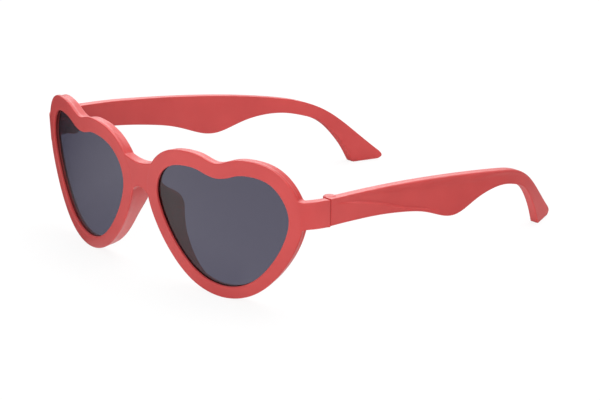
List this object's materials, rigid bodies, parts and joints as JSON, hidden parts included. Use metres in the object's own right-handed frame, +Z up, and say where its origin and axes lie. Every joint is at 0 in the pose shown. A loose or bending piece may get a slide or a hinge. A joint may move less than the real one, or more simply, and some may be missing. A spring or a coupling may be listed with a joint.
{
  "type": "heart shaped sunglasses",
  "caption": "Child's sunglasses with heart shaped rims, smoky lenses, moulded nose pads and temples that fold flat on screwed barrel hinges.",
  "frame": {"origin": "on the surface that the glasses stand on, under the middle of their bounding box", "axes": "+Z up, -Y the way the wearer looks, +X to the wearer's left, temples open along +Y"},
  "size_m": [0.122, 0.1294, 0.0434],
  "materials": {
    "red_plastic": "satin soft-touch moulding",
    "smoke_lens": "polished, smoke tinted through",
    "screw_steel": "turned",
    "insert_brass": "turned"
  },
  "bodies": {
    "front": {"front_frame": "red_plastic", "left_lens": "smoke_lens", "right_lens": "smoke_lens"},
    "left_temple": {"left_temple": "red_plastic", "left_hinge_screw": "screw_steel", "left_hinge_insert": "insert_brass"},
    "right_temple": {"right_temple": "red_plastic", "right_hinge_screw": "screw_steel", "right_hinge_insert": "insert_brass"}
  },
  "joints": [
    {"name": "left_hinge", "type": "hinge", "parent": "front", "child": "left_temple", "pos_m": [0.05808, -0.04288, 0.0296], "axis": [0, 0, 1], "range_deg": [0, 83]},
    {"name": "right_hinge", "type": "hinge", "parent": "front", "child": "right_temple", "pos_m": [-0.05808, -0.04288, 0.0296], "axis": [0, 0, -1], "range_deg": [0, 77]}
  ]
}
